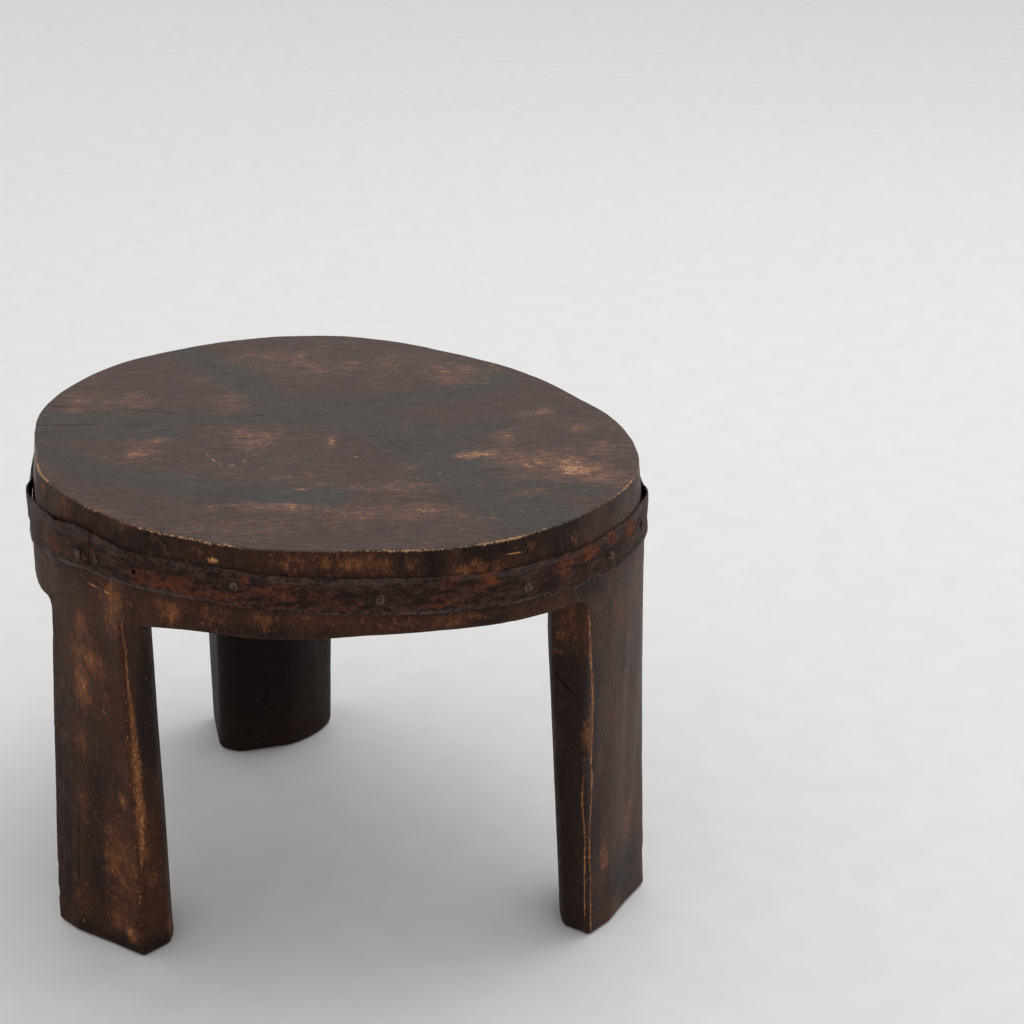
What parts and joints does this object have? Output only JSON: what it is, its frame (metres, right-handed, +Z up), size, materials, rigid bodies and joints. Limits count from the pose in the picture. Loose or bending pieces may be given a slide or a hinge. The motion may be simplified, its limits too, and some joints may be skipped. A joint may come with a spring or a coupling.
{
  "type": "stool",
  "caption": "Low stool carved from one short log, with a thick seat, legs left standing in the round of the log, and a nailed iron hoop round the rim.",
  "frame": {"origin": "middle of the stool's outline on the ground, level with the soles of the feet", "axes": "+Z up through the seat, -Y to the front, where the ends of the hoop are lapped at the left"},
  "size_m": [0.381, 0.3978, 0.278],
  "materials": {
    "carved_wood": "dark stained hardwood, waxed and worn",
    "hoop_iron": "rusted and blackened strap iron",
    "nail_iron": "worn forged iron"
  },
  "bodies": {
    "root": {"stool_body": "carved_wood", "iron_hoop": "hoop_iron", "hoop_nail_01": "nail_iron", "hoop_nail_02": "nail_iron", "hoop_nail_03": "nail_iron", "hoop_nail_04": "nail_iron", "hoop_nail_05": "nail_iron", "hoop_nail_06": "nail_iron", "hoop_nail_07": "nail_iron", "hoop_nail_08": "nail_iron", "hoop_nail_09": "nail_iron", "hoop_nail_10": "nail_iron", "hoop_nail_11": "nail_iron", "hoop_nail_12": "nail_iron", "hoop_nail_13": "nail_iron", "hoop_nail_14": "nail_iron", "hoop_nail_15": "nail_iron", "hoop_nail_16": "nail_iron"}
  },
  "joints": []
}
